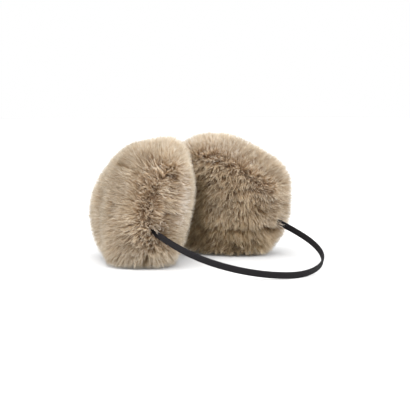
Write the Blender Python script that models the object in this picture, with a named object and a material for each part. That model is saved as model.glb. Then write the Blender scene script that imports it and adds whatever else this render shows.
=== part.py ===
"""Fur earmuffs lying on a surface: two deep-fur pads held by one flat springy headband.

Metres, +Z up, +X from the left pad to the right one, the headband's bow towards -Y.
The origin is the middle of the footprint, on the surface that the earmuffs lie on.
"""

import math

import bmesh
import bpy
import numpy as np
from mathutils import Euler, Vector

# Pads, measured to the tips of the fur
PAD_RADIUS = 0.0620
PAD_HALF_DEPTH = 0.0362
PAD_ROUNDING = 0.75
PAD_SPACING = 0.0960
PAD_FORWARD = 0.0040
PAD_CENTRE_HEIGHT = 0.0478
PAD_LEAN = math.radians(14.0)
PAD_YAW = {"left": math.radians(14.0), "right": math.radians(22.0)}

# Locks of fur, whose tips are spread evenly over a pad: each rises from its root to its tip
LOCK_COUNT = 110
LOCK_LENGTH = 0.0330
LOCK_HALF_WIDTH = 0.0125
LOCK_RELIEF = 0.0042
LOCK_UNEVENNESS = 0.25
LOCK_DROOP = 0.45
LOCK_SEED = {"left": 7, "right": 8}
PAD_SEGMENTS = 60
PAD_RINGS = 32

# Headband: a flat strip, its width square to the plane of the bow
BAND_WIDTH = 0.0055
BAND_THICKNESS = 0.0020
BAND_EDGE_RADIUS = 0.0006
BAND_HALF_SPAN = 0.0680
BAND_BOW_DEPTH = 0.0850
BAND_BOW_OFFSET = 0.0713
BAND_ARCH_POWER = 1.1
BAND_SIDE_POWER = 0.8
BAND_HIDDEN_TURN = math.radians(40.0)
BAND_POINTS = 64
POCKET_CLEARANCE = 0.0003

GOLDEN_ANGLE = math.pi * (3.0 - math.sqrt(5.0))
SIDES = {"left": -1, "right": 1}

# Large dents and swellings of the fur: where they are, as directions from the pad's centre
# (outward, rearward, upward), how far they spread in degrees, and their height as a share
# of the pad's radius
SWELLINGS = {
    "left": (
        {"towards": (0.55, 0.45, 0.70), "spread": 32.0, "height": -0.095},
        {"towards": (0.60, 0.30, -0.70), "spread": 28.0, "height": -0.160},
        {"towards": (-0.55, -0.45, -0.60), "spread": 28.0, "height": 0.060},
        {"towards": (-0.50, -0.55, 0.60), "spread": 26.0, "height": 0.025},
        {"towards": (-0.30, -0.10, 0.95), "spread": 20.0, "height": 0.110},
        {"towards": (0.10, 0.00, 1.00), "spread": 24.0, "height": -0.075},
    ),
    "right": (
        {"towards": (0.42, -0.37, 0.83), "spread": 22.0, "height": -0.050},
        {"towards": (0.53, -0.79, 0.32), "spread": 22.0, "height": 0.105},
        {"towards": (-0.10, 0.52, 0.85), "spread": 26.0, "height": 0.095},
        {"towards": (0.47, -0.87, -0.10), "spread": 20.0, "height": -0.030},
        {"towards": (0.20, -0.78, -0.60), "spread": 20.0, "height": 0.035},
        {"towards": (0.26, -0.73, -0.64), "spread": 8.0, "height": -0.050},
        {"towards": (-0.30, -0.60, -0.75), "spread": 26.0, "height": -0.040},
    ),
}

FUR_COLOUR = (0.42, 0.34, 0.26, 1.0)
BAND_COLOUR = (0.018, 0.016, 0.018, 1.0)


def clear_scene():
    """Remove the objects that the file opens with."""
    for obj in list(bpy.data.objects):
        bpy.data.objects.remove(obj, do_unlink=True)


def new_collection(name):
    """Add a collection to the scene."""
    collection = bpy.data.collections.new(name)
    bpy.context.scene.collection.children.link(collection)
    return collection


def new_material(name, colour, roughness):
    """Make a plain non-metallic Principled material."""
    material = bpy.data.materials.new(name)
    material.use_nodes = True
    shader = material.node_tree.nodes["Principled BSDF"]
    shader.inputs["Base Color"].default_value = colour
    shader.inputs["Roughness"].default_value = roughness
    shader.inputs["Metallic"].default_value = 0.0
    material.diffuse_color = colour
    return material


def signed_power(value, power):
    """Raise the size of a number, or of each in an array, to a power and keep its sign."""
    return np.sign(value) * np.abs(value) ** power


def band_tilt():
    """Angle by which the bow dips, so that its lowest edge just meets the surface."""
    reach = BAND_BOW_OFFSET + BAND_BOW_DEPTH + BAND_THICKNESS / 2 - BAND_EDGE_RADIUS
    half_width = BAND_WIDTH / 2 - BAND_EDGE_RADIUS
    drop = PAD_CENTRE_HEIGHT - BAND_EDGE_RADIUS
    return math.asin(drop / math.hypot(reach, half_width)) - math.atan2(half_width, reach)


def band_path(extra_turn):
    """Centreline of the bow in its own plane, from one hidden end to the other."""
    first = -BAND_HIDDEN_TURN - extra_turn
    last = math.pi - first
    points = []
    for step in range(BAND_POINTS + 1):
        turn = first + (last - first) * step / BAND_POINTS
        across = BAND_HALF_SPAN * signed_power(math.cos(turn), BAND_ARCH_POWER)
        forward = BAND_BOW_OFFSET + BAND_BOW_DEPTH * signed_power(math.sin(turn), BAND_SIDE_POWER)
        points.append((across, -forward))
    return points


def rounded_profile(name, width, thickness, radius, collection):
    """Cross-section of the strip as a closed guide curve: thickness along X, width along Y."""
    corners = ((1, 1, 0), (-1, 1, 90), (-1, -1, 180), (1, -1, 270))
    points = []
    for right, top, start in corners:
        centre_x = right * (thickness / 2 - radius)
        centre_y = top * (width / 2 - radius)
        for step in range(3):
            angle = math.radians(start + 45 * step)
            points.append((centre_x + radius * math.cos(angle), centre_y + radius * math.sin(angle)))
    curve = bpy.data.curves.new(name, "CURVE")
    curve.dimensions = "2D"
    spline = curve.splines.new("POLY")
    spline.points.add(len(points) - 1)
    for point, (x, y) in zip(spline.points, points):
        point.co = (x, y, 0.0, 1.0)
    spline.use_cyclic_u = True
    profile = bpy.data.objects.new(name, curve)
    profile.hide_render = True
    profile.display_type = "WIRE"
    collection.objects.link(profile)
    return profile


def swept_band(name, growth, guides, collection):
    """Sweep the strip's profile along the bow, with every face moved out by growth."""
    profile = rounded_profile(
        f"{name}_profile",
        BAND_WIDTH + 2 * growth,
        BAND_THICKNESS + 2 * growth,
        BAND_EDGE_RADIUS + growth,
        guides,
    )
    path = bpy.data.curves.new(name, "CURVE")
    path.dimensions = "2D"
    path.bevel_mode = "OBJECT"
    path.bevel_object = profile
    path.use_fill_caps = True
    points = band_path(growth / BAND_HALF_SPAN)
    spline = path.splines.new("POLY")
    spline.points.add(len(points) - 1)
    for point, (x, y) in zip(spline.points, points):
        point.co = (x, y, 0.0, 1.0)
    sweep = bpy.data.objects.new(f"{name}_sweep", path)
    guides.objects.link(sweep)
    bpy.context.view_layer.update()
    evaluated = sweep.evaluated_get(bpy.context.evaluated_depsgraph_get())
    mesh = bpy.data.meshes.new_from_object(evaluated)
    bpy.data.objects.remove(sweep)
    shape = bmesh.new()
    shape.from_mesh(mesh)
    bmesh.ops.remove_doubles(shape, verts=shape.verts, dist=1e-6)
    bmesh.ops.recalc_face_normals(shape, faces=shape.faces)
    shape.to_mesh(mesh)
    shape.free()
    band = bpy.data.objects.new(name, mesh)
    band.location = (0.0, 0.0, PAD_CENTRE_HEIGHT)
    band.rotation_euler = (band_tilt(), 0.0, 0.0)
    collection.objects.link(band)
    return band


def lock_tips():
    """Directions of the lock tips from the pad's centre, spread evenly along a spiral."""
    step = np.arange(LOCK_COUNT) + 0.5
    face = 1.0 - 2.0 * step / LOCK_COUNT
    turn = step * GOLDEN_ANGLE
    rim = np.sqrt(1.0 - face**2)
    return np.stack([face, rim * np.cos(turn), rim * np.sin(turn)], 1)


def lock_relief(unit, rng):
    """How far the surface lies under the lock tips, at each direction on a unit ball."""
    height = np.zeros(len(unit))
    for tip in lock_tips():
        grow = rng.uniform(1.0 - LOCK_UNEVENNESS, 1.0)
        flow = Vector((-tip[0], 0.0, -LOCK_DROOP))
        flow -= flow.dot(Vector(tip)) * Vector(tip)
        flow.normalize()
        offset = (unit - tip) * PAD_RADIUS
        along = 1.0 + (offset @ np.array(flow)) / (LOCK_LENGTH * grow)
        taper = np.sqrt(np.clip(1.0 - along.clip(0.0) ** 3, 1e-4, 1.0))
        across = (offset @ np.cross(tip, flow)) / (LOCK_HALF_WIDTH * grow * taper)
        inside = (along > 0.0) & (along < 1.0) & (np.abs(across) < 1.0) & (unit @ tip > 0.0)
        lock = along * (1.0 - across**2) * grow
        height = np.maximum(height, np.where(inside, lock, 0.0))
    return LOCK_RELIEF * (1.0 - height)


def swelling(side, direction):
    """Sum of the broad dents and swellings along each direction from the pad's centre."""
    total = np.zeros(len(direction))
    for row in SWELLINGS[side]:
        towards = np.array(Vector(row["towards"]).normalized())
        apart = np.degrees(np.arccos(np.clip(direction @ towards, -1.0, 1.0)))
        total += row["height"] * np.exp(-((apart / row["spread"]) ** 2))
    return total * PAD_RADIUS


def pad_points(side, unit):
    """Move the points of a unit ball, its poles on X, out to the pad's fur."""
    around = np.arctan2(unit[:, 2], unit[:, 1])
    face = PAD_HALF_DEPTH * signed_power(unit[:, 0], PAD_ROUNDING)
    rim = PAD_RADIUS * np.hypot(unit[:, 1], unit[:, 2]) ** PAD_ROUNDING
    points = np.stack([face, rim * np.cos(around), rim * np.sin(around)], 1)
    length = np.linalg.norm(points, axis=1)
    direction = points / length[:, None]
    rng = np.random.default_rng(LOCK_SEED[side])
    length = length - lock_relief(unit, rng) + swelling(side, direction)
    return direction * length[:, None]


def fur_pad(side, material, collection):
    """One pad: a backing ball whose locks of fur are part of it, pressed flat where it lies."""
    sign = SIDES[side]
    shape = bmesh.new()
    bmesh.ops.create_uvsphere(
        shape,
        u_segments=PAD_SEGMENTS,
        v_segments=PAD_RINGS,
        radius=1.0,
    )
    shape.verts.ensure_lookup_table()
    unit = np.array([(v.co.z, v.co.x, v.co.y) for v in shape.verts])
    points = pad_points(side, unit)
    turn = Euler((0.0, -sign * PAD_LEAN, sign * PAD_YAW[side]))
    for vertex, (outward, rearward, upward) in zip(shape.verts, points):
        place = Vector((sign * outward, rearward, upward))
        drop = -(turn.to_matrix() @ place).z
        if drop > PAD_CENTRE_HEIGHT:
            place *= PAD_CENTRE_HEIGHT / drop
        vertex.co = place
    if sign < 0:
        bmesh.ops.reverse_faces(shape, faces=shape.faces)
    mesh = bpy.data.meshes.new(f"fur_pad_{side}")
    shape.to_mesh(mesh)
    shape.free()
    mesh.materials.append(material)
    pad = bpy.data.objects.new(f"fur_pad_{side}", mesh)
    pad.location = (sign * PAD_SPACING / 2, -PAD_FORWARD, PAD_CENTRE_HEIGHT)
    pad.rotation_euler = turn
    collection.objects.link(pad)
    return pad


def cut(target, cutter):
    """Cut the closed cutter out of the target."""
    cutter.hide_render = True
    cutter.display_type = "WIRE"
    modifier = target.modifiers.new("band_pocket", "BOOLEAN")
    modifier.operation = "DIFFERENCE"
    modifier.object = cutter


def stand_on_origin(objects):
    """Parent everything to one empty and put the middle of the footprint at the origin."""
    bpy.context.view_layer.update()
    graph = bpy.context.evaluated_depsgraph_get()
    corners = []
    for obj in objects:
        evaluated = obj.evaluated_get(graph)
        mesh = evaluated.to_mesh()
        corners += [evaluated.matrix_world @ vertex.co for vertex in mesh.vertices]
        evaluated.to_mesh_clear()
    low = [min(corner[axis] for corner in corners) for axis in range(3)]
    high = [max(corner[axis] for corner in corners) for axis in range(3)]
    stand = bpy.data.objects.new("earmuffs", None)
    bpy.context.scene.collection.objects.link(stand)
    stand.location = (-(low[0] + high[0]) / 2, -(low[1] + high[1]) / 2, -low[2])
    for obj in bpy.data.objects:
        if obj is not stand and obj.parent is None:
            obj.parent = stand


def main():
    """Build the headband and the two pads."""
    clear_scene()
    model = new_collection("fur_earmuffs")
    guides = new_collection("guides")
    fur = new_material("fur", FUR_COLOUR, 0.95)
    cloth = new_material("band_cloth", BAND_COLOUR, 0.75)
    band = swept_band("headband", 0.0, guides, model)
    band.data.materials.append(cloth)
    pocket = swept_band("band_pocket", POCKET_CLEARANCE, guides, guides)
    pads = [fur_pad(side, fur, model) for side in SIDES]
    for pad in pads:
        cut(pad, pocket)
    stand_on_origin([band, *pads])


main()
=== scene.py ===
"""Looks of the fur earmuffs: strand by strand fur on both pads, and the woven cover of the headband.

Every length is in metres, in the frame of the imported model: +Z up, the bow of the headband towards -Y.
"""

from __future__ import annotations

import logging
import math
from dataclasses import dataclass, field
from enum import Enum
from typing import Any, Sequence

import bmesh
import bpy
import numpy as np
from mathutils import Matrix, Vector
from mathutils.kdtree import KDTree

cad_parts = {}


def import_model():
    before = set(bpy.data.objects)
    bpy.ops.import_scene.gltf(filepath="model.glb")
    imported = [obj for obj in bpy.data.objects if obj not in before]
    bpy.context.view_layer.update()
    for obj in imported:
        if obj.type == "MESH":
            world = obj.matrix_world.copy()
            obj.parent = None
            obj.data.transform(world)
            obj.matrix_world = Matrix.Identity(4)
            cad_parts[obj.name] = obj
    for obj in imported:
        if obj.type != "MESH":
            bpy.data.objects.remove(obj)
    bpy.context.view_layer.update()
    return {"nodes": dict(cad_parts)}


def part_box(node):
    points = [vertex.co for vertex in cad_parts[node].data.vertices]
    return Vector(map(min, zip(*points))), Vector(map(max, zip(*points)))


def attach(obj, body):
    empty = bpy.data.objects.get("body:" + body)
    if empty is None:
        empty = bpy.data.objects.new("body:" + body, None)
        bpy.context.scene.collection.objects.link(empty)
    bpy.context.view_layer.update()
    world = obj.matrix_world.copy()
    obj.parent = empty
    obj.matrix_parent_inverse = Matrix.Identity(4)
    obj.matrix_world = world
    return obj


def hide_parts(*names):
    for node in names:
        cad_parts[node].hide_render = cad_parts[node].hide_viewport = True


LOG = logging.getLogger("earmuffs")
BODY = "root"
STRAND_MAP = "OFBake"
WEAVE_MAP = "weave"
TINY = 1e-12
Colour = tuple[float, float, float]
Direction = tuple[float, float, float]
Span = tuple[float, float]
Stops = Sequence[tuple[float, Colour]]
Inputs = dict[str, Any] | None
Array = np.ndarray
Chance = np.random.Generator
Socket = bpy.types.NodeSocket


class Side(Enum):
    """The two pads, by the sign of X on which each lies."""

    LEFT = -1
    RIGHT = 1


class Layer(Enum):
    """The coats of hair that a pad's fur is made of, innermost first."""

    UNDERCOAT = "undercoat"
    TOPCOAT = "topcoat"
    GUARD_HAIR = "guard_hair"


def unit(vectors: Array) -> Array:
    """Scale each row to length one."""
    return vectors / np.maximum(np.linalg.norm(vectors, axis=-1, keepdims=True), TINY)


def smooth_step(values: Array, start: float, end: float) -> Array:
    """Change smoothly from 0 at start to 1 at end, which may lie on either side of it."""
    share = np.clip((values - start) / (end - start), 0.0, 1.0)
    return share * share * (3.0 - 2.0 * share)


def fade(apart: Array, reach: float) -> Array:
    """Fall smoothly from 1 where nothing is apart to almost 0 at twice the reach."""
    return np.exp(-((apart / reach) ** 2))


def signed_power(values: Array, power: float) -> Array:
    """Raise the size of each number to a power and keep its sign."""
    return np.sign(values) * np.abs(values) ** power


def nearest_on_line(places: Array, line: Array) -> Array:
    """Find the nearest point of an open line to each place.

    Args:
        places: The places.
        line: The line's points, in order.

    Returns:
        The nearest points.
    """
    found = []
    for start, course in zip(line[:-1], np.diff(line, axis=0)):
        share = np.clip(((places - start) @ course) / (course @ course), 0.0, 1.0)
        found.append(start + share[:, None] * course)
    closest = np.argmin([np.linalg.norm(places - near, axis=1) for near in found], axis=0)
    return np.array(found)[closest, np.arange(len(places))]


def stand(data: bpy.types.ID, back: Vector | None = None) -> bpy.types.Object:
    """Put a mesh, lamp or camera into the scene under its own name.

    Args:
        data: The mesh, lamp or camera.
        back: The way that a lamp's or camera's back faces, or None for a mesh.

    Returns:
        The object.
    """
    thing = bpy.data.objects.new(data.name, data)
    if back is not None:
        thing.rotation_mode = "QUATERNION"
        thing.rotation_quaternion = back.to_track_quat("Z", "Y")
    bpy.context.scene.collection.objects.link(thing)
    return thing


@dataclass(frozen=True)
class Value:
    """One number that changes over a surface, held as a socket, with the arithmetic that finishes use."""

    shader: Shader
    socket: Socket

    def __add__(self, other: Number) -> Value:
        """Sum with another value or a plain number."""
        return self.shader.maths("ADD", self, other)

    def __radd__(self, other: Number) -> Value:
        """Sum with a plain number on the left."""
        return self.shader.maths("ADD", other, self)

    def __sub__(self, other: Number) -> Value:
        """Difference from another value or a plain number."""
        return self.shader.maths("SUBTRACT", self, other)

    def __rsub__(self, other: Number) -> Value:
        """Difference of a plain number and this value."""
        return self.shader.maths("SUBTRACT", other, self)

    def __mul__(self, other: Number) -> Value:
        """Product with another value or a plain number."""
        return self.shader.maths("MULTIPLY", self, other)

    def __rmul__(self, other: Number) -> Value:
        """Product with a plain number on the left."""
        return self.shader.maths("MULTIPLY", other, self)

    def __truediv__(self, other: Number) -> Value:
        """Quotient by another value or a plain number."""
        return self.shader.maths("DIVIDE", self, other)

    def __rtruediv__(self, other: Number) -> Value:
        """Quotient of a plain number by this value."""
        return self.shader.maths("DIVIDE", other, self)

    def whole(self) -> Value:
        """The largest whole number that is no more than the value."""
        return self.shader.maths("FLOOR", self)

    def fraction(self) -> Value:
        """What is left above the whole number."""
        return self.shader.maths("FRACT", self)

    def wave(self) -> Value:
        """Sine of the value in radians, raised and halved to run from 0 to 1."""
        return self.shader.maths("SINE", self) * 0.5 + 0.5


Number = Value | float


class Shader:
    """A new material around one Principled shader."""

    def __init__(self, name: str) -> None:
        """Start the material with its shader and output.

        Args:
            name: The material's name.
        """
        self.material = bpy.data.materials.new(name)
        self.material.use_nodes = True
        self.tree = self.material.node_tree
        self.tree.nodes.clear()
        self.surface = self.node("ShaderNodeBsdfPrincipled")
        self.node("ShaderNodeOutputMaterial", inputs={"Surface": self.surface.outputs["BSDF"]})

    def node(self, kind: str, settings: Inputs = None, inputs: Inputs = None) -> bpy.types.Node:
        """Add a node, with its settings set first and its sockets filled or linked after.

        Args:
            kind: The node's type.
            settings: Its own settings; stops is a list of ramp positions and colours.
            inputs: Plain values, sockets or Value objects by socket name or identifier.

        Returns:
            The node.
        """
        node = self.tree.nodes.new(kind)
        for name, value in (settings or {}).items():
            if name == "stops":
                self._set_stops(node.color_ramp, value)
            else:
                setattr(node, name, value)
        for name, value in (inputs or {}).items():
            self.feed(node, name, value)
        return node

    @staticmethod
    def _set_stops(ramp: bpy.types.ColorRamp, stops: Stops) -> None:
        """Give a colour ramp its stops.

        Args:
            ramp: The ramp.
            stops: Positions and colours, in order.
        """
        while len(ramp.elements) < len(stops):
            ramp.elements.new(1.0)
        for element, (place, colour) in zip(ramp.elements, stops):
            element.position = place
            element.color = (*colour, 1.0)

    def feed(self, node: bpy.types.Node, name: str, value: Any) -> None:
        """Fill or link one socket.

        Args:
            node: The node.
            name: The socket's identifier, or else its name.
            value: A plain value, a socket or a Value.
        """
        found = [s for s in node.inputs if s.identifier == name] or [node.inputs[name]]
        source = value.socket if isinstance(value, Value) else value
        if isinstance(source, Socket):
            self.tree.links.new(source, found[0])
        elif isinstance(source, tuple) and found[0].type == "RGBA":
            found[0].default_value = (*source, 1.0)
        else:
            found[0].default_value = source

    def dress(self, **inputs: Any) -> bpy.types.Material:
        """Fill or link the Principled shader's own sockets.

        Args:
            **inputs: Plain values, sockets or Value objects by socket name, with _ for a space.

        Returns:
            The material.
        """
        for name, value in inputs.items():
            self.feed(self.surface, name.replace("_", " "), value)
        return self.material

    def maths(self, operation: str, first: Number, second: Number = 0.0) -> Value:
        """Add a Math node, whose sockets go by their identifiers."""
        inputs = {"Value": first, "Value_001": second}
        return Value(self, self.node("ShaderNodeMath", {"operation": operation}, inputs).outputs[0])

    def uv(self, layer: str) -> tuple[Value, Value]:
        """Read a UV map.

        Args:
            layer: The map's name.

        Returns:
            Its two numbers.
        """
        place = self.node("ShaderNodeUVMap", {"uv_map": layer})
        parts = self.node("ShaderNodeSeparateXYZ", inputs={"Vector": place.outputs["UV"]})
        return Value(self, parts.outputs["X"]), Value(self, parts.outputs["Y"])

    def noise(self, scale: float, detail: float) -> Value:
        """Read a noise texture at the object's own coordinates.

        Args:
            scale: How fine it is.
            detail: How many finer layers it has.

        Returns:
            The noise, from 0 to 1.
        """
        place = self.node("ShaderNodeTexCoord").outputs["Object"]
        inputs = {"Vector": place, "Scale": scale, "Detail": detail}
        return Value(self, self.node("ShaderNodeTexNoise", inputs=inputs).outputs["Fac"])

    def ramp(self, factor: Value, stops: Stops) -> Socket:
        """Turn a value from 0 to 1 into a colour."""
        return self.node("ShaderNodeValToRGB", {"stops": stops}, {"Fac": factor}).outputs["Color"]

    def mix(self, factor: Number, first: Any, second: Any, blend: str = "MIX") -> Socket:
        """Mix two colours.

        Args:
            factor: How much of the second one.
            first: The first colour, or its socket.
            second: The second colour, or its socket.
            blend: The way of mixing.

        Returns:
            The mixed colour.
        """
        inputs = {"Factor_Float": factor, "A_Color": first, "B_Color": second}
        node = self.node("ShaderNodeMix", {"data_type": "RGBA", "blend_type": blend}, inputs)
        return next(s for s in node.outputs if s.identifier == "Result_Color")

    def scaled(self, colour: Socket, factor: Value) -> Socket:
        """Scale a colour by a value."""
        inputs = {"Vector": colour, "Scale": factor}
        return self.node("ShaderNodeVectorMath", {"operation": "SCALE"}, inputs).outputs["Vector"]

    def bump(self, height: Value, depth: float) -> Socket:
        """Raise the surface by a height that is a share of the depth in metres."""
        inputs = {"Height": height, "Distance": depth, "Strength": 1.0}
        return self.node("ShaderNodeBump", inputs=inputs).outputs["Normal"]


@dataclass(frozen=True)
class FurFinish:
    """Hair that is dark at the root and pale at the tip, in a chart of tones and hues."""

    name: str = "fur_strands"
    tones: int = 24
    hues: int = 6
    root: Colour = (0.14, 0.066, 0.022)
    shaft: Colour = (0.335, 0.21, 0.108)
    belly: Colour = (0.485, 0.385, 0.272)
    tip: Colour = (0.55, 0.492, 0.404)
    # The greyer, darker very end is painted shade that tones down the bright rims
    end: Colour = (0.315, 0.3, 0.272)
    marks: tuple[float, ...] = (0.0, 0.36, 0.7, 0.84, 1.0)
    warm: Colour = (1.045, 0.99, 0.875)
    cool: Colour = (0.98, 1.00, 1.03)
    shaded: Colour = (1.13, 0.95, 0.67)
    sunned: Colour = (0.97, 1.00, 1.08)
    darkest: float = 0.34
    lightest: float = 1.24
    roughness: float = 0.72
    specular: float = 0.25
    sheen: float = 0.08
    sheen_roughness: float = 0.5

    def chart_place(self, tone: Array, hue: Array) -> tuple[Array, Array]:
        """Find the cell of the chart for each strand.

        Args:
            tone: From 0, dark, to 1, light.
            hue: From 0, warm, to 1, cool.

        Returns:
            The column and the row of each strand's cell.
        """
        column = np.clip(np.floor(tone * self.tones), 0, self.tones - 1)
        row = np.clip(np.floor(hue * self.hues), 0, self.hues - 1)
        return column, row

    def material(self) -> bpy.types.Material:
        """Build the material.

        Returns:
            The material, whose colour follows the strands' own map.
        """
        shader = Shader(self.name)
        across, up = shader.uv(STRAND_MAP)
        tone = (across * self.tones).whole() / (self.tones - 1)
        hue = (up * self.hues).whole() / (self.hues - 1)
        colours = (self.root, self.shaft, self.belly, self.tip, self.end)
        hair = shader.ramp((up * self.hues).fraction(), list(zip(self.marks, colours)))
        for factor, low, high in ((hue, self.warm, self.cool), (tone, self.shaded, self.sunned)):
            hair = shader.mix(1.0, hair, shader.mix(factor, low, high), "MULTIPLY")
        return shader.dress(
            Base_Color=shader.scaled(hair, self.darkest + (self.lightest - self.darkest) * tone),
            Roughness=self.roughness,
            Specular_IOR_Level=self.specular,
            Sheen_Weight=self.sheen,
            Sheen_Roughness=self.sheen_roughness,
        )


# Pale grey loose hairs: partly their own colour, partly a painted highlight where the headband leaves the fur
WISP_FINISH = FurFinish(
    name="fur_wisps",
    root=(0.28, 0.22, 0.16),
    shaft=(0.4, 0.34, 0.27),
    belly=(0.52, 0.47, 0.4),
    tip=(0.62, 0.58, 0.53),
    end=(0.6, 0.58, 0.55),
)


@dataclass(frozen=True)
class UnderfurFinish:
    """The dense felted down that shows dark between the strands."""

    deep: Colour = (0.1, 0.058, 0.03)
    pale: Colour = (0.27, 0.18, 0.108)
    marks: Span = (0.3, 0.7)
    fineness: float = 900.0
    detail: float = 3.0
    roughness: float = 0.95
    depth: float = 0.0008

    def material(self) -> bpy.types.Material:
        """Build the material.

        Returns:
            The material, mottled and rough.
        """
        shader = Shader("fur_down")
        mottle = shader.noise(self.fineness, self.detail)
        return shader.dress(
            Base_Color=shader.ramp(mottle, list(zip(self.marks, (self.deep, self.pale)))),
            Roughness=self.roughness,
            Normal=shader.bump(mottle, self.depth),
        )


@dataclass(frozen=True)
class WovenFinish:
    """A near-black woven cover with fine slanting ribs."""

    thread: Colour = (0.004, 0.0035, 0.004)
    rib: Colour = (0.011, 0.01, 0.011)
    rib_pitch: float = 0.00085
    slant: float = 1.1
    thread_rate: float = 2.3
    thread_share: float = 0.3
    fuzz_fineness: float = 1400.0
    fuzz_share: float = 0.2
    lint_fineness: float = 60.0
    lint_share: float = 0.5
    detail: float = 2.0
    roughness: Span = (0.62, 0.82)
    specular: float = 0.09
    depth: float = 0.00012

    def material(self) -> bpy.types.Material:
        """Build the material.

        Returns:
            The material, whose weave runs along the strip's own map in metres.
        """
        shader = Shader("woven_cover")
        along, around = shader.uv(WEAVE_MAP)
        turn = 2.0 * math.pi / self.rib_pitch
        twill = ((along + around * self.slant) * turn).wave()
        thread = ((along - around * self.slant) * (turn * self.thread_rate)).wave()
        weave = twill * (1.0 - self.thread_share) + thread * self.thread_share
        fuzz = shader.noise(self.fuzz_fineness, self.detail)
        lint = shader.noise(self.lint_fineness, self.detail)
        cloth = shader.mix(weave * (1.0 - self.fuzz_share) + fuzz * self.fuzz_share, self.thread, self.rib)
        low, high = self.roughness
        return shader.dress(
            Base_Color=shader.scaled(cloth, 1.0 - self.lint_share / 2 + self.lint_share * lint),
            Roughness=low + (high - low) * fuzz,
            Specular_IOR_Level=self.specular,
            Normal=shader.bump(weave, self.depth),
        )


@dataclass(frozen=True)
class Coat:
    """One coat of hair on a pad."""

    layer: Layer
    strands: int
    length: float
    root_width: float
    tip_height: float
    unevenness: float
    gather: float
    tone: float
    tone_spread: float
    points: int = 5


COATS = (
    Coat(Layer.UNDERCOAT, 21500, 0.013, 0.0004, -0.0008, 0.0007, 0.4, 0.53, 0.1),
    Coat(Layer.TOPCOAT, 22500, 0.014, 0.00032, 0.0002, 0.0003, 0.36, 0.61, 0.11),
    Coat(Layer.GUARD_HAIR, 22500, 0.015, 0.00026, 0.0006, 0.0003, 0.26, 0.67, 0.12),
)


@dataclass(frozen=True)
class Wisps:
    """The loose hairs that fall over the headband where it leaves a pad."""

    strands: int = 36
    length: float = 0.0068
    lengths: Span = (0.7, 1.2)
    root_width: float = 0.00026
    root_share: float = 0.5
    spread: float = 0.05
    rise: float = 1.1
    setback: float = 0.0065
    lift: float = 0.005
    scatter: float = 0.5
    bow: float = 0.6
    tone: float = 0.6
    tone_spread: float = 0.1
    hues: Span = (0.7, 1.0)
    points: int = 5


@dataclass(frozen=True)
class PartingAndPaintedShade:
    """A line between two directions (outward, rearward, upward) where fur gets painted shade, or painted
    light where the shade is negative, and may sink and part.
    """

    start: Direction
    end: Direction
    width: float
    shade: float
    depth: float = 0.0
    push: float = 0.0


# Positive shade is painted shade: in the grooves and creases, in the gap beside the other pad, and low on the
# right pad's inner face. Negative shade is painted light: on the left pad's right rim and ridge, and on the
# right pad's arc and tuft.
PARTINGS_AND_PAINTED_SHADE = {
    Side.LEFT: (
        # Grooves where the fur sinks, with painted shade in them
        PartingAndPaintedShade((0.69, -0.04, 0.72), (0.46, -0.75, 0.48), 0.0024, 0.16, 0.0024, 0.001),
        PartingAndPaintedShade((0.04, -0.77, -0.64), (-0.01, -0.66, -0.75), 0.002, 0.35, 0.004, 0.0014),
        # Painted light on the rim and the ridge
        PartingAndPaintedShade((-0.18, -0.71, 0.68), (-0.29, -0.94, 0.17), 0.006, -0.38),
        PartingAndPaintedShade((-0.29, -0.94, 0.17), (-0.28, -0.96, -0.07), 0.006, -0.26),
        PartingAndPaintedShade((0.17, -0.85, 0.5), (0.1, -0.93, 0.36), 0.008, -0.42),
    ),
    Side.RIGHT: (
        # Creases where the fur sinks, with painted shade in them
        PartingAndPaintedShade((-0.83, 0.33, -0.44), (-0.77, -0.46, -0.44), 0.0034, 0.1, 0.001, 0.0006),
        PartingAndPaintedShade((-0.77, -0.46, -0.44), (-0.37, -0.86, -0.34), 0.0032, 0.2, 0.0026, 0.0014),
        PartingAndPaintedShade((-0.37, -0.86, -0.34), (0.1, -0.9, -0.42), 0.003, 0.35, 0.005, 0.0026),
        PartingAndPaintedShade((-0.52, -0.85, 0.09), (-0.41, -0.91, -0.05), 0.0026, 0.22, 0.0026, 0.0012),
        # Painted shade in the gap beside the left pad, and low on the inner face
        PartingAndPaintedShade((-0.82, 0.24, 0.52), (-0.76, 0.36, -0.53), 0.01, 0.9),
        PartingAndPaintedShade((-0.7, 0.45, -0.6), (-0.45, -0.6, -0.68), 0.015, 0.38),
        # Painted light on the arc and the tuft
        PartingAndPaintedShade((-0.41, 0.02, 0.91), (-0.35, -0.45, 0.82), 0.007, -0.58),
        PartingAndPaintedShade((-0.32, -0.68, 0.66), (-0.13, -0.94, 0.32), 0.007, -0.42),
        PartingAndPaintedShade((-0.2, 0.3, 0.93), (-0.15, -0.25, 0.96), 0.012, -0.14),
    ),
}


@dataclass(frozen=True)
class Puff:
    """A place where fur stands higher or lower, or is ruffled, in a direction (outward, rearward, upward)."""

    place: Direction
    spread: float
    lift: float
    ruffle: float = 0.0


PUFFS = {
    Side.LEFT: (
        Puff((-0.12, -0.08, 0.99), 22.0, 0.0012),
        Puff((-0.31, -0.16, 0.94), 16.0, 0.0018),
        Puff((0.38, 0.18, -0.9), 18.0, -0.0025),
        Puff((-0.7, -0.32, -0.64), 18.0, 0.002),
    ),
    Side.RIGHT: (
        Puff((0.45, -0.25, 0.85), 20.0, 0.0018),
        Puff((0.56, -0.64, 0.52), 20.0, 0.0016),
        Puff((-0.12, -0.68, 0.72), 18.0, 0.0, 1.5),
        Puff((0.05, -0.97, 0.25), 18.0, 0.0, 1.3),
    ),
}


@dataclass(frozen=True)
class Crest:
    """A line from which the hair falls away to both sides, in directions (outward, rearward, upward)."""

    points: tuple[Direction, ...]
    facing: Direction
    depth: float
    reach: float
    mess: float
    strength: float


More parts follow.
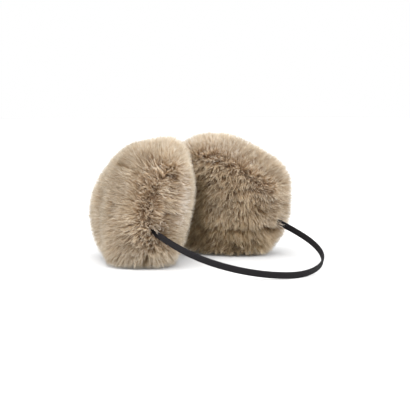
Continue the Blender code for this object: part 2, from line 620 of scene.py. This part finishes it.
CRESTS = {
    Side.LEFT: Crest(
        ((-0.02, -0.77, 0.63), (0.08, -0.86, 0.5), (0.25, -0.96, 0.13),
         (0.33, -0.94, -0.1), (0.14, -0.94, -0.3), (0.01, -0.89, -0.45)),
        (0.43, -0.9, 0.0), depth=0.018, reach=0.026, mess=0.017, strength=0.85,
    ),
    Side.RIGHT: Crest(
        ((-0.43, 0.15, 0.9), (-0.43, -0.13, 0.89), (-0.43, -0.47, 0.77),
         (-0.37, -0.69, 0.62), (-0.27, -0.82, 0.51), (-0.14, -0.94, 0.31)),
        (-0.82, -0.48, 0.3), depth=0.012, reach=0.02, mess=0.008, strength=0.6,
    ),
}


class Swirl:
    """A smooth wandering of the way that hair lies, made of a few waves."""

    PITCHES = (0.7, 1.4)

    def __init__(self, pitch: float, waves: int, rng: Chance) -> None:
        """Draw the waves.

        Args:
            pitch: How far apart two crests lie, in metres.
            waves: How many waves.
            rng: The source of chance.
        """
        turns = 2.0 * math.pi / (pitch * rng.uniform(*self.PITCHES, waves))
        self.turns = unit(rng.normal(size=(waves, 3))) * turns[:, None]
        self.phase = rng.uniform(0.0, 2.0 * math.pi, waves)
        self.push = rng.normal(size=(waves, 3)) / math.sqrt(waves)

    def at(self, places: Array) -> Array:
        """The sideways pull at each place."""
        return np.sin(places @ self.turns.T + self.phase) @ self.push


@dataclass(frozen=True)
class Ball:
    """The flattened, squarish ball that each pad's solid swells out of."""

    radius: float = 0.062
    half_depth: float = 0.0362
    rounding: float = 0.75

    def reach(self, local: Array) -> Array:
        """How far the ball reaches in unit directions along the pad's own axes."""
        power = 2.0 / self.rounding
        face = np.abs(local[:, 0]) / self.half_depth
        rim = np.hypot(local[:, 1], local[:, 2]) / self.radius
        return (face**power + rim**power) ** (-1.0 / power)


class FurForm:
    """The outer form of a pad's fur: how far it reaches in each direction from the pad's middle."""

    ROWS = 60
    COLUMNS = 120
    BATCHES = 8
    BLEND = math.radians(7.0)
    PEAK_BLEND = math.radians(9.0)
    PEAK_STEP = 0.014
    OUTER_SHARE = 0.85
    LEAST_HEIGHT = 0.0005
    SLOPE_STEP = 0.02
    ALONG_X = 0.9
    GRAZING = 0.3
    FLOOR_HEIGHT = 0.0015
    FLOOR_SHARE = 0.12

    def __init__(self, solid: bpy.types.Object, turn: Matrix, centre: Array, ball: Ball) -> None:
        """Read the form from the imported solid, over the tips of its locks.

        Args:
            solid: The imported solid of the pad.
            turn: The pad's own axes: outward, rearward and upward, as columns.
            centre: The pad's middle.
            ball: The flattened ball that the solid swells out of.
        """
        points = np.zeros(len(solid.data.vertices) * 3)
        solid.data.vertices.foreach_get("co", points)
        points = points.reshape(-1, 3)
        self.turn = np.array(turn)
        self.centre = centre
        self.ball = ball
        offsets = points[points[:, 2] > self.LEAST_HEIGHT] - centre
        reach = np.linalg.norm(offsets, axis=1)
        directions = offsets / reach[:, None]
        near = directions @ directions.T > math.cos(self.BLEND)
        outer = reach > self.OUTER_SHARE * np.where(near, reach, 0.0).max(1)
        directions = directions[outer]
        self.share = self._peaks(directions, reach[outer] / ball.reach(directions @ self.turn))

    def _peaks(self, directions: Array, share: Array) -> Array:
        """Blend the solid's points into a smooth form through its lock tips.

        Args:
            directions: The direction of each of the solid's points.
            share: How far away each is, as a share of the ball's reach.

        Returns:
            The form's share on a grid of latitudes and longitudes about X.
        """
        rows = np.linspace(-math.pi / 2, math.pi / 2, self.ROWS)
        columns = np.linspace(-math.pi, math.pi, self.COLUMNS + 1)
        latitude, longitude = np.meshgrid(rows, columns, indexing="ij")
        rim = np.cos(latitude)
        grid = np.stack([np.sin(latitude), rim * np.cos(longitude), rim * np.sin(longitude)], -1)
        wanted = grid.reshape(-1, 3)
        rise = share - self._blend(directions, directions, share, self.BLEND)
        smooth = self._blend(wanted, directions, share, self.BLEND)
        smooth += self._blend(wanted, directions, rise, self.PEAK_BLEND, np.exp(rise / self.PEAK_STEP))
        return smooth.reshape(latitude.shape)

    def _blend(
        self, wanted: Array, known: Array, values: Array, spread: float, weights: float | Array = 1.0
    ) -> Array:
        """Average values that are known in some directions, around each wanted direction.

        Args:
            wanted: The directions to work out.
            known: The directions whose values are known.
            values: Those values.
            spread: The angle over which they count.
            weights: How much each counts.

        Returns:
            The averages.
        """
        found = []
        for part in np.array_split(wanted, self.BATCHES):
            weight = fade(np.arccos(np.clip(part @ known.T, -1.0, 1.0)), spread) * weights
            found.append((weight @ values) / weight.sum(1))
        return np.concatenate(found)

    def at(self, directions: Array, lift: float | Array = 0.0) -> Array:
        """Points of the form.

        Args:
            directions: Unit directions from the middle.
            lift: How far outside the form, in metres.

        Returns:
            The points, never under the surface that the pad lies on.
        """
        row = (np.arcsin(np.clip(directions[:, 0], -1, 1)) / math.pi + 0.5) * (self.ROWS - 1)
        column = (np.arctan2(directions[:, 2], directions[:, 1]) / (2 * math.pi) + 0.5) * self.COLUMNS
        row_low = np.clip(row.astype(int), 0, self.ROWS - 2)
        column_low = np.clip(column.astype(int), 0, self.COLUMNS - 1)
        up, side = row - row_low, column - column_low
        share = sum(
            self.share[row_low + above, column_low + after] * row_share * column_share
            for after, column_share in enumerate((1 - side, side))
            for above, row_share in enumerate((1 - up, up))
        )
        reach = share * self.ball.reach(directions @ self.turn) + lift
        floor_reach = self.centre[2] / np.maximum(-directions[:, 2], TINY)
        return self.centre + directions * np.minimum(reach, floor_reach)[:, None]

    def normals(self, directions: Array) -> Array:
        """Outward normals of the form.

        Args:
            directions: Unit directions from the middle.

        Returns:
            The unit normals.
        """
        helper = np.where(np.abs(directions[:, :1]) < self.ALONG_X, [[1.0, 0.0, 0.0]], [[0.0, 1.0, 0.0]])
        first = unit(np.cross(directions, helper))
        second = np.cross(directions, first)
        here = self.at(directions)
        one = self.at(unit(directions + first * self.SLOPE_STEP)) - here
        two = self.at(unit(directions + second * self.SLOPE_STEP)) - here
        return unit(np.cross(one, two))

    def scatter(self, count: int, rng: Chance) -> Array:
        """Spread directions evenly over the form's area, sparsely where it lies on the surface.

        Args:
            count: How many.
            rng: The source of chance.

        Returns:
            Unit directions from the middle.
        """
        found = np.zeros((0, 3))
        while len(found) < count:
            tries = unit(rng.normal(size=(count * 2, 3)))
            places = self.at(tries)
            slant = np.maximum((self.normals(tries) * tries).sum(1), self.GRAZING)
            area = ((places - self.centre) ** 2).sum(1) / slant
            keep = rng.random(len(tries)) < area / area.max()
            keep &= (places[:, 2] > self.FLOOR_HEIGHT) | (rng.random(len(tries)) < self.FLOOR_SHARE)
            found = np.concatenate([found, tries[keep]])
        return found[:count]


class Clumps:
    """Small bunches that neighbouring hairs gather into, each with a lean, a height and a tone."""

    def __init__(self, form: FurForm, count: int, lean: float, height: float, rng: Chance) -> None:
        """Scatter the bunches over a pad.

        Args:
            form: The pad's form.
            count: How many bunches.
            lean: How far their tips lean aside, in metres.
            height: How much their tips rise or fall, in metres.
            rng: The source of chance.
        """
        self.tips = form.at(form.scatter(count, rng))
        self.lean = rng.normal(size=(count, 3)) * lean
        self.height = rng.normal(size=count) * height
        self.tone = rng.normal(size=count)
        self.search = KDTree(count)
        for index, tip in enumerate(self.tips):
            self.search.insert(tip, index)
        self.search.balance()

    def nearest(self, places: Array) -> Array:
        """The bunch that each place belongs to."""
        return np.array([self.search.find(place)[1] for place in places])


@dataclass
class FurPad:
    """One ear pad: felted down inside, and coats of separate hairs that end on the pad's form."""

    CLUMPS = ((13000, 0.0007, 0.0002), (1500, 0.0006, 0.00025))
    SWIRLS = ((0.006, 14), (0.022, 8))
    RIPPLES = ((31.0, 9.0), (17.0, -27.0), (-23.0, 21.0))

    side: Side
    yaw: float
    lean: float = math.radians(14.0)
    spacing: float = 0.096
    forward: float = 0.004
    height: float = 0.0478
    ball: Ball = Ball()
    wisps: Wisps = Wisps()
    fur: FurFinish = FurFinish()
    pale: FurFinish = WISP_FINISH
    down: UnderfurFinish = UnderfurFinish()
    seed: int = 11
    # The down and the clearance under the pad
    down_depth: float = 0.0085
    down_ripple: float = 0.0006
    down_fineness: int = 5
    down_fill: float = 0.8
    floor_gap: float = 0.0004
    settling: float = 0.005
    sinking: float = -0.2
    # The fan of the hair, and the zones of the far pad's inner face as shares of its radius or depth
    core_share: float = 0.62
    core_depth: float = 0.1
    core_pull: float = 0.72
    face_pull: float = 0.7
    droop: float = 0.1
    flatness: float = 0.8
    brush: float = 0.62
    face_zone: Span = (0.96, 0.58)
    foot_zone: Span = (-0.36, -0.54)
    inner_zone: Span = (0.0, -0.5)
    foot_mess: float = 2.8
    foot_rise: float = 0.75
    sleek_curl: float = 0.05
    ruffled_curl: float = 0.14
    sweep: float = 0.12
    # The clearing round the headband
    passage_reach: float = 1.6
    clearing: float = 0.0055
    clearing_depth: float = 0.0078
    clearing_push: float = 0.6
    # The shape of each hair
    loft: float = 0.0022
    lengths: Span = (0.8, 1.1)
    middle_depth: float = 0.2
    bend: float = 0.001
    twist: float = 0.8
    # The gathering and the tones, with painted light on tousled hair
    sleek_bunching: float = 0.45
    bunching: float = 0.5
    wide_gather: float = 0.25
    bunch_tone: float = 0.5
    patch_tone: float = 0.5
    own_tone: float = 0.6
    tone_shift: float = 0.0
    # Painted light: raises the tone of tousled hair, which looks dark in shade on the ridge and the inner
    # face
    tousled_painted_light: float = 0.0
    hue_spread: float = 0.45
    # What the coats share, set by build
    form: FurForm = field(init=False)
    bunches: list[Clumps] = field(init=False)
    swirls: list[Swirl] = field(init=False)
    passage: Array = field(init=False)

    @property
    def solid(self) -> str:
        """The name of the pad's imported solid."""
        return f"fur_pad_{self.side.name.lower()}"

    def axes(self) -> Matrix:
        """The pad's own axes: outward, rearward and upward, as columns.

        Returns:
            The axes, mirrored for the pad at -X.
        """
        sign = self.side.value
        turn = Matrix.Rotation(sign * self.yaw, 3, "Z") @ Matrix.Rotation(-sign * self.lean, 3, "Y")
        return turn @ Matrix.Diagonal((sign, 1.0, 1.0))

    def build(self, nodes: dict[str, bpy.types.Object], band: Headband) -> list[bpy.types.Object]:
        """Build the whole pad.

        Args:
            nodes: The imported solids.
            band: The headband, already built.

        Returns:
            The pad's pieces.
        """
        middle = Vector((self.side.value * self.spacing / 2, -self.forward, self.height)) + band.origin
        self.form = FurForm(nodes[self.solid], self.axes(), np.array(middle), self.ball)
        rng = np.random.default_rng(self.seed)
        self.bunches = [Clumps(self.form, *sizes, rng) for sizes in self.CLUMPS]
        self.swirls = [Swirl(*sizes, rng) for sizes in self.SWIRLS]
        own = band.course[band.course[:, 0] * self.side.value > 0.0]
        away = np.linalg.norm(own - self.form.centre, axis=1)
        surface = self.form.at(unit(own - self.form.centre), -self.clearing) - self.form.centre
        within = away < self.passage_reach * self.ball.radius
        self.passage = own[(away > np.linalg.norm(surface, axis=1)) & within]
        pieces = [self._down()]
        material = self.fur.material()
        pieces += [self._coat(coat, rng).build(material) for coat in COATS]
        return [*pieces, self._wisps(rng).build(self.pale.material())]

    def _down(self) -> bpy.types.Object:
        """Make the felted down, a closed body a little inside the fur.

        Returns:
            The piece.
        """
        mesh = bpy.data.meshes.new(f"{self.solid}_down")
        shape = bmesh.new()
        bmesh.ops.create_icosphere(shape, subdivisions=self.down_fineness, radius=1.0)
        directions = np.array([vertex.co[:] for vertex in shape.verts])
        ripple = np.sin(directions @ np.array(self.RIPPLES)).sum(1)
        places = self.form.at(unit(directions), -self.down_depth + self.down_ripple * ripple)
        places[:, 2] = np.maximum(places[:, 2], self.floor_gap)
        for vertex, place in zip(shape.verts, places):
            vertex.co = place
        shape.to_mesh(mesh)
        shape.free()
        mesh.shade_smooth()
        mesh.materials.append(self.down.material())
        body = stand(mesh)
        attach(body, BODY)
        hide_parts(self.solid)
        return body

    def _lay(self, tips: Array) -> tuple[Array, Array, Array]:
        """The way that hairs point where they end, and how tousled and ruffled they are.

        Args:
            tips: Where they end.

        Returns:
            Unit vectors from root to tip; a share for each from 0, sleek, to 1, curled and spotty; and
            the same with the ruffled patches, which may pass 1.
        """
        local = (tips - self.form.centre) @ self.form.turn
        radial = np.hypot(local[:, 1], local[:, 2])
        shrink = np.minimum(1.0, self.core_share * self.ball.radius / np.maximum(radial, TINY))
        depth = self.core_depth * self.ball.half_depth
        core = np.stack([np.clip(local[:, 0], -depth, depth), local[:, 1] * shrink, local[:, 2] * shrink], 1)
        down = np.array([0.0, 0.0, -1.0])
        lay = unit(local - self.core_pull * core) @ self.form.turn.T + down * self.droop
        tousled = np.zeros(len(tips))
        if self.side is Side.RIGHT:
            face = smooth_step(radial / self.ball.radius, *self.face_zone)
            foot = smooth_step(local[:, 2] / self.ball.radius, *self.foot_zone)
            inner = smooth_step(local[:, 0] / self.ball.half_depth, *self.inner_zone)
            tousled = np.maximum(face, self.foot_mess * foot) * inner
            pull = self.core_pull * np.array([0.0, self.face_pull, self.face_pull])
            flat = local * [self.flatness, 1.0, 1.0] - core * pull
            brushed = unit(flat) @ self.form.turn.T + down * self.brush
            share = (face * inner * (1.0 - self.foot_rise * foot))[:, None]
            lay = lay * (1 - share) + brushed * share
        crest = CRESTS[self.side]
        line = self.form.at(unit(np.array(crest.points) @ self.form.turn.T))
        aside = tips - nearest_on_line(tips, line)
        apart = np.linalg.norm(aside, axis=1)
        near = fade(apart, crest.reach)[:, None] * crest.strength
        parted = unit(aside + np.array(crest.facing) @ self.form.turn.T * crest.depth)
        lay = unit(lay * (1 - near) + parted * near)
        tousled = np.maximum(tousled, fade(apart, crest.mess))
        ruffled = tousled
        for puff in PUFFS[self.side]:
            ruffled = np.maximum(ruffled, puff.ruffle * self._within(puff, local))
        curl, sweep = (swirl.at(tips) for swirl in self.swirls)
        lay += curl * (self.sleek_curl + self.ruffled_curl * ruffled[:, None]) + sweep * self.sweep
        return unit(lay), np.minimum(tousled, 1.0), ruffled

    def _part(self, tips: Array) -> tuple[Array, Array, Array]:
        """How the headband's clearing and the partings move the hairs' tips, and where painted shade and
        painted light change their tone.

        Args:
            tips: Where the hairs end.

        Returns:
            The sideways push of each tip, how far it sinks, and how much painted shade darkens its tone, or
            painted light lightens it where negative.
        """
        aside = tips - nearest_on_line(tips, self.passage)
        near = fade(np.linalg.norm(aside, axis=1), self.clearing)
        push = unit(aside) * (near * self.clearing_push * self.clearing)[:, None]
        sink = near * self.clearing_depth
        shade = np.zeros(len(tips))
        for shade_line in PARTINGS_AND_PAINTED_SHADE[self.side]:
            ends = self.form.at(unit(np.array([shade_line.start, shade_line.end]) @ self.form.turn.T))
            aside = tips - self.form.at(unit(nearest_on_line(tips, ends) - self.form.centre))
            near = fade(np.linalg.norm(aside, axis=1), shade_line.width)
            push += unit(aside) * (near * shade_line.push)[:, None]
            sink += near * shade_line.depth
            shade += near * shade_line.shade
        return push, sink, shade

    def _lofts(self, directions: Array) -> Array:
        """How far the hair stands above the form in unit directions from the pad's middle."""
        local = directions @ self.form.turn
        return self.loft + sum(puff.lift * self._within(puff, local) for puff in PUFFS[self.side])

    @staticmethod
    def _within(puff: Puff, local: Array) -> Array:
        """How much each place along the pad's own axes belongs to a puff, up to 1."""
        apart = np.arccos(np.clip(unit(local) @ unit(np.array(puff.place)), -1.0, 1.0))
        return fade(apart, math.radians(puff.spread))

    def _sunk(self, places: Array, depth: float) -> Array:
        """Pull places that lie too far out to a depth inside the form.

        Args:
            places: The places.
            depth: The least depth, in metres.

        Returns:
            The places, none less deep than that.
        """
        offsets = places - self.form.centre
        allowed = self.form.at(unit(offsets), -depth) - self.form.centre
        excess = np.linalg.norm(allowed, axis=1) / np.maximum(np.linalg.norm(offsets, axis=1), TINY)
        return self.form.centre + offsets * np.minimum(excess, 1.0)[:, None]

    def _coat(self, coat: Coat, rng: Chance) -> HairMesh:
        """Grow one coat of hair.

        Args:
            coat: The coat's sizes.
            rng: The source of chance.

        Returns:
            The hairs, still to be built.
        """
        count = coat.strands
        directions = self.form.scatter(count, rng)
        tips = self.form.at(directions)
        normals = self.form.normals(directions)
        lay, tousled, ruffled = self._lay(tips)
        push, sink, shade = self._part(tips)
        bunching = self.sleek_bunching + self.bunching * ruffled
        mottling = self.bunch_tone * bunching + self.patch_tone * np.maximum(ruffled - 1.0, 0.0)
        height = coat.tip_height + rng.normal(size=count) * coat.unevenness - sink
        # Painted shade and painted light along the partings, and painted light on tousled hair, shift the
        # tone beside its random spread
        tone = coat.tone + self.tone_shift - shade + self.tousled_painted_light * tousled
        end = tips + push + normals * self._lofts(directions)[:, None]
        for bunch, share in zip(self.bunches, (coat.gather, coat.gather * self.wide_gather)):
            index = bunch.nearest(tips)
            end += ((bunch.tips[index] - tips) * share + bunch.lean[index]) * bunching[:, None]
            height += bunch.height[index] * bunching
            tone += bunch.tone[index] * coat.tone_spread * mottling
        tone += rng.normal(size=count) * coat.tone_spread * self.own_tone
        length = (coat.length * rng.uniform(*self.lengths, count))[:, None]
        root = self._sunk(tips - lay * length, self.down_depth)
        middle = self._sunk(tips - lay * length / 2, self.down_depth * self.middle_depth)
        middle += unit(rng.normal(size=(count, 3))) * self.bend
        end += lay * height[:, None]
        end[:, 2] *= smooth_step(end[:, 2], self.sinking * self.settling, self.settling)
        share = np.linspace(0.0, 1.0, coat.points)[None, :, None]
        spine = root[:, None] * (1 - share) ** 2 + 2 * middle[:, None] * share * (1 - share)
        spine += end[:, None] * share**2
        spine[..., 2] = np.maximum(spine[..., 2], self.floor_gap)
        facing = unit(normals + self.twist * rng.normal(size=(count, 3)))
        hue = self.hue_spread * rng.random(count) + (1.0 - self.hue_spread) * (1.0 - tousled)
        name = f"{self.solid}_{coat.layer.value}"
        return HairMesh(name, spine, facing, coat.root_width, tone, hue, self.fur)

    def _wisps(self, rng: Chance) -> HairMesh:
        """Lay loose pale hairs over the headband where it leaves the fur, their pale grey partly a painted
        highlight.

        Args:
            rng: The source of chance.

        Returns:
            The hairs, still to be built.
        """
        wisps = self.wisps
        own = self.passage - self.form.centre
        away = np.linalg.norm(own, axis=1)
        surface = np.linalg.norm(self.form.at(unit(own), self.loft) - self.form.centre, axis=1)
        outside = np.where(away > surface, away, np.inf)
        leaving = own[np.argmin(outside)]
        heading = unit(own[np.argmin(np.abs(outside - outside.min() - wisps.length))] - leaving)
        leaving = leaving - heading * wisps.setback + [0.0, 0.0, wisps.lift]
        spots = unit(unit(leaving) + rng.normal(size=(wisps.strands, 3)) * wisps.spread)
        root = self.form.at(spots, self.loft - wisps.root_share * wisps.length)
        lay = unit(heading + wisps.rise * spots + wisps.scatter * rng.normal(size=spots.shape))
        end = root + lay * wisps.length * rng.uniform(*wisps.lengths, wisps.strands)[:, None]
        share = np.linspace(0.0, 1.0, wisps.points)[None, :, None]
        spine = root[:, None] * (1 - share) + end[:, None] * share
        spine += spots[:, None] * wisps.bow * wisps.length * share * (1 - share)
        facing = unit(spots + self.twist * rng.normal(size=spots.shape))
        tone = wisps.tone + wisps.tone_spread * rng.normal(size=wisps.strands)
        hue = rng.uniform(*wisps.hues, wisps.strands)
        return HairMesh(f"{self.solid}_wisps", spine, facing, wisps.root_width, tone, hue, self.pale)


@dataclass
class HairMesh:
    """Tapered ribbons, one for each hair, as one mesh."""

    name: str
    spine: Array
    facing: Array
    root_width: float
    tone: Array
    hue: Array
    finish: FurFinish
    taper: float = 0.55
    cell_sides: Span = (0.2, 0.8)
    cell_ends: Span = (0.02, 0.98)

    def build(self, material: bpy.types.Material) -> bpy.types.Object:
        """Make the mesh with its map.

        Args:
            material: The finish's material.

        Returns:
            The piece.
        """
        count, points = self.spine.shape[:2]
        share = np.linspace(0.0, 1.0, points)
        across = unit(np.cross(np.gradient(self.spine, axis=1), self.facing[:, None]))
        across *= (self.root_width * (1.0 - self.taper * share**2) / 2)[None, :, None]
        rungs = np.stack([self.spine - across, self.spine + across], 2)[:, :-1]
        corners = np.concatenate([rungs.reshape(count, -1, 3), self.spine[:, -1:]], 1)
        hair = np.arange(count)[:, None]
        quads = 2 * np.arange(points - 2)[:, None] + [0, 1, 3, 2]
        loops = np.append(quads, 2 * (points - 2) + np.arange(3))
        starts = 4 * np.arange(points - 1)
        mesh = bpy.data.meshes.new(self.name)
        mesh.vertices.add(count * corners.shape[1])
        mesh.vertices.foreach_set("co", corners.astype(np.float32).ravel())
        mesh.loops.add(count * len(loops))
        vertices = hair * corners.shape[1] + loops
        mesh.loops.foreach_set("vertex_index", vertices.astype(np.int32).ravel())
        mesh.polygons.add(count * len(starts))
        mesh.polygons.foreach_set("loop_start", (hair * len(loops) + starts).astype(np.int32).ravel())
        mesh.polygons.foreach_set("use_smooth", np.ones(count * len(starts), bool))
        mesh.update(calc_edges=True)
        self._map(mesh, loops, share)
        mesh.materials.append(material)
        piece = stand(mesh)
        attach(piece, BODY)
        return piece

    def _map(self, mesh: bpy.types.Mesh, loops: Array, share: Array) -> None:
        """Lay each hair in its cell of the chart, root to tip.

        Args:
            mesh: The hairs' mesh.
            loops: The corners of one hair's faces.
            share: How far along a hair each of its points lies.
        """
        side = np.append(np.tile(self.cell_sides, len(share) - 1), sum(self.cell_sides) / 2)
        along = np.interp(np.append(np.repeat(share[:-1], 2), 1.0), (0.0, 1.0), self.cell_ends)
        column, row = self.finish.chart_place(self.tone, self.hue)
        across_chart = (column[:, None] + side[loops]) / self.finish.tones
        up_chart = (row[:, None] + along[loops]) / self.finish.hues
        layer = mesh.uv_layers.new(name=STRAND_MAP)
        layer.data.foreach_set("uv", np.stack([across_chart, up_chart], -1).astype(np.float32).ravel())


@dataclass
class Headband:
    """The flat springy strip in its woven cover, swept along the bow."""

    width: float = 0.0055
    thickness: float = 0.002
    edge_radius: float = 0.0009
    half_span: float = 0.068
    bow_depth: float = 0.085
    bow_offset: float = 0.0713
    arch_power: float = 1.1
    side_power: float = 0.8
    hidden_turn: float = math.radians(40.0)
    pad_height: float = 0.0478
    solid_edge_radius: float = 0.0006
    fine_steps: int = 4000
    rings: int = 280
    corner_points: int = 5
    side_points: int = 5
    finish: WovenFinish = WovenFinish()
    # Set by build: the strip's centreline, and where the middle of its ends lies on the floor
    course: Array = field(init=False)
    origin: Vector = field(init=False)

    def tilt(self) -> float:
        """Angle by which the bow dips to the surface.

        Returns:
            The angle in radians.
        """
        reach = self.bow_offset + self.bow_depth + self.thickness / 2 - self.solid_edge_radius
        half_width = self.width / 2 - self.solid_edge_radius
        drop = self.pad_height - self.solid_edge_radius
        return math.asin(drop / math.hypot(reach, half_width)) - math.atan2(half_width, reach)

    def path(self) -> tuple[Array, Array]:
        """Centreline of the bow in its own plane, evenly spaced.

        Returns:
            Points as across and forward, and how far along the strip each lies.
        """
        turn = np.linspace(-self.hidden_turn, math.pi + self.hidden_turn, self.fine_steps)
        across = self.half_span * signed_power(np.cos(turn), self.arch_power)
        forward = self.bow_offset + self.bow_depth * signed_power(np.sin(turn), self.side_power)
        run = np.concatenate([[0.0], np.cumsum(np.hypot(np.diff(across), np.diff(forward)))])
        even = np.linspace(0.0, run[-1], self.rings)
        return np.stack([np.interp(even, run, across), np.interp(even, run, forward)], 1), even

    def section(self) -> Array:
        """Cross-section of the covered strip.

        Returns:
            Points as thickness and width, anticlockwise.
        """
        inset = np.array([self.thickness, self.width]) / 2 - self.edge_radius
        points = []
        for quarter, (right, top) in enumerate(((1, 1), (-1, 1), (-1, -1), (1, -1))):
            angle = (quarter + np.linspace(0.0, 1.0, self.corner_points)) * math.pi / 2
            arc = np.stack([np.cos(angle), np.sin(angle)], 1) * self.edge_radius
            points.append(inset * (right, top) + arc)
            if right != top:
                height = np.linspace(top, -top, self.side_points + 2)[1:-1] * inset[1]
                points.append(np.stack([np.full(len(height), right * self.thickness / 2), height], 1))
        return np.concatenate(points)

    def build(self) -> bpy.types.Object:
        """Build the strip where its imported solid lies.

        Returns:
            The piece.
        """
        path, run = self.path()
        section = self.section()
        ahead = unit(np.gradient(path, axis=0))
        outward = np.stack([ahead[:, 1], -ahead[:, 0]], 1)
        flat = path[:, None] + outward[:, None] * section[None, :, :1]
        places = self._tilted(flat, section[:, 1])
        low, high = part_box("headband")
        shift = np.array([(low.x + high.x) / 2, low.y - places[..., 1].min(), 0.0])
        self.course = self._tilted(path, 0.0) + shift
        self.origin = Vector(shift)
        piece = self._mesh(places + shift, run, section)
        piece.data.materials.append(self.finish.material())
        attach(piece, BODY)
        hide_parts("headband")
        return piece

    def _tilted(self, flat: Array, rise: float | Array) -> Array:
        """Tip points of the bow's own plane down to the surface.

        Args:
            flat: Points as across and forward, in their last axis.
            rise: How far above the plane they lie.

        Returns:
            Points as X, Y and Z.
        """
        cosine, sine = math.cos(self.tilt()), math.sin(self.tilt())
        across, forward = flat[..., 0], flat[..., 1]
        back = -forward * cosine - rise * sine
        return np.stack([across, back, self.pad_height - forward * sine + rise * cosine], -1)

    def _mesh(self, places: Array, run: Array, section: Array) -> bpy.types.Object:
        """Join the rings into a closed body with a map in metres.

        Args:
            places: The points, by ring and by place around it.
            run: How far along the strip each ring lies.
            section: The cross-section.

        Returns:
            The object.
        """
        rings, sides = places.shape[:2]
        edges = np.diff(np.concatenate([section, section[:1]]), axis=0)
        around = np.concatenate([[0.0], np.cumsum(np.linalg.norm(edges, axis=1))])
        corners = ((0, 0), (0, 1), (1, 1), (1, 0))
        cells = [(ring, side) for ring in range(rings - 1) for side in range(sides)]
        faces = [
            [(ring + ahead) * sides + (side + after) % sides for ahead, after in corners]
            for ring, side in cells
        ]
        faces += [range(sides)[::-1], range((rings - 1) * sides, rings * sides)]
        map_places = [(run[r + ahead], around[s + after]) for r, s in cells for ahead, after in corners]
        map_places += [(run[0], around[side]) for side in range(sides)] * 2
        mesh = bpy.data.meshes.new("headband_cover")
        mesh.from_pydata(places.reshape(-1, 3).tolist(), [], faces)
        layer = mesh.uv_layers.new(name=WEAVE_MAP)
        layer.data.foreach_set("uv", np.array(map_places, np.float32).ravel())
        mesh.shade_smooth()
        return stand(mesh)


@dataclass(frozen=True)
class Lamp:
    """A broad distant lamp, in a direction made up of the camera's side, its right and up."""

    name: str
    back: float
    right: float
    up: float
    strength: float
    spread: float


LAMPS = (
    Lamp("overhead", 0.45, 0.0, 1.0, 2.25, 50.0),
    Lamp("left_key", 0.25, -1.0, 0.55, 3.7, 40.0),
    Lamp("front_fill", 1.0, 0.0, 0.7, 2.5, 40.0),
    Lamp("right_fill", 0.4, 0.9, 0.4, 3.6, 50.0),
)


@dataclass
class Studio:
    """The pale floor, the soft light and the camera."""

    azimuth: float = math.radians(39.0)
    elevation: float = math.radians(5.1)
    distance: float = 0.9
    focal_pixels: float = 1058.8
    frame_pixels: int = 410
    sensor: float = 36.0
    clip: Span = (0.05, 50.0)
    aim_from_bow: tuple[float, float, float] = (-0.0045, 0.1113, 0.0497)
    floor_reach: float = 12.0
    floor_colour: Colour = (0.49, 0.49, 0.49)
    floor_roughness: float = 0.9

    def floor(self) -> None:
        """Lay the plain pale floor."""
        mesh = bpy.data.meshes.new("floor")
        reach = self.floor_reach
        corners = [(-reach, -reach, 0), (reach, -reach, 0), (reach, reach, 0), (-reach, reach, 0)]
        mesh.from_pydata(corners, [], [range(4)])
        shader = Shader("pale_floor")
        shader.dress(Base_Color=self.floor_colour, Roughness=self.floor_roughness, Specular_IOR_Level=0.0)
        mesh.materials.append(shader.material)
        stand(mesh)

    def light(self) -> None:
        """Hang the lamps in an even white surround."""
        world = bpy.data.worlds.new("surround")
        world.use_nodes = True
        background = world.node_tree.nodes["Background"]
        background.inputs["Color"].default_value = (1.0, 1.0, 1.0, 1.0)
        background.inputs["Strength"].default_value = 1.0
        bpy.context.scene.world = world
        right = Vector((math.cos(self.azimuth), -math.sin(self.azimuth), 0.0))
        back = Vector((-math.sin(self.azimuth), -math.cos(self.azimuth), 0.0))
        up = Vector((0.0, 0.0, 1.0))
        for lamp in LAMPS:
            data = bpy.data.lights.new(lamp.name, "SUN")
            data.energy = lamp.strength
            data.angle = math.radians(lamp.spread)
            stand(data, back * lamp.back + right * lamp.right + up * lamp.up)

    def camera(self) -> None:
        """Stand the camera at the photograph's angle."""
        low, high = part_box("headband")
        aim = Vector(((low.x + high.x) / 2, low.y, 0.0)) + Vector(self.aim_from_bow)
        level = math.cos(self.elevation)
        back = Vector(
            (-math.sin(self.azimuth) * level, -math.cos(self.azimuth) * level, math.sin(self.elevation))
        )
        data = bpy.data.cameras.new("camera")
        data.sensor_width = self.sensor
        data.lens = self.sensor * self.focal_pixels / self.frame_pixels
        data.clip_start, data.clip_end = self.clip
        camera = stand(data, back)
        camera.location = aim + back * self.distance
        bpy.context.scene.camera = camera
        bpy.context.scene.view_settings.view_transform = "Standard"


def main() -> None:
    """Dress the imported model, set the stage and report the pieces."""
    logging.basicConfig(level=logging.INFO, format="%(name)s: %(message)s")
    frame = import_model()
    studio = Studio()
    studio.camera()
    studio.floor()
    studio.light()
    band = Headband()
    pieces = [band.build()]
    # Each pad's lightening is painted light on its tousled hair
    left = FurPad(Side.LEFT, math.radians(14.0), tone_shift=-0.04, tousled_painted_light=0.24)
    right = FurPad(
        Side.RIGHT,
        math.radians(22.0),
        clearing_depth=0.0022,
        bunching=0.22,
        tone_shift=-0.05,
        tousled_painted_light=0.01,
        wisps=Wisps(strands=80, setback=0.003, lift=0.0, tone=0.8),
        seed=12,
    )
    for pad in (left, right):
        pieces += pad.build(frame["nodes"], band)
    for piece in pieces:
        LOG.info("%s: %d faces", piece.name, len(piece.data.polygons))


if __name__ == "__main__":
    main()
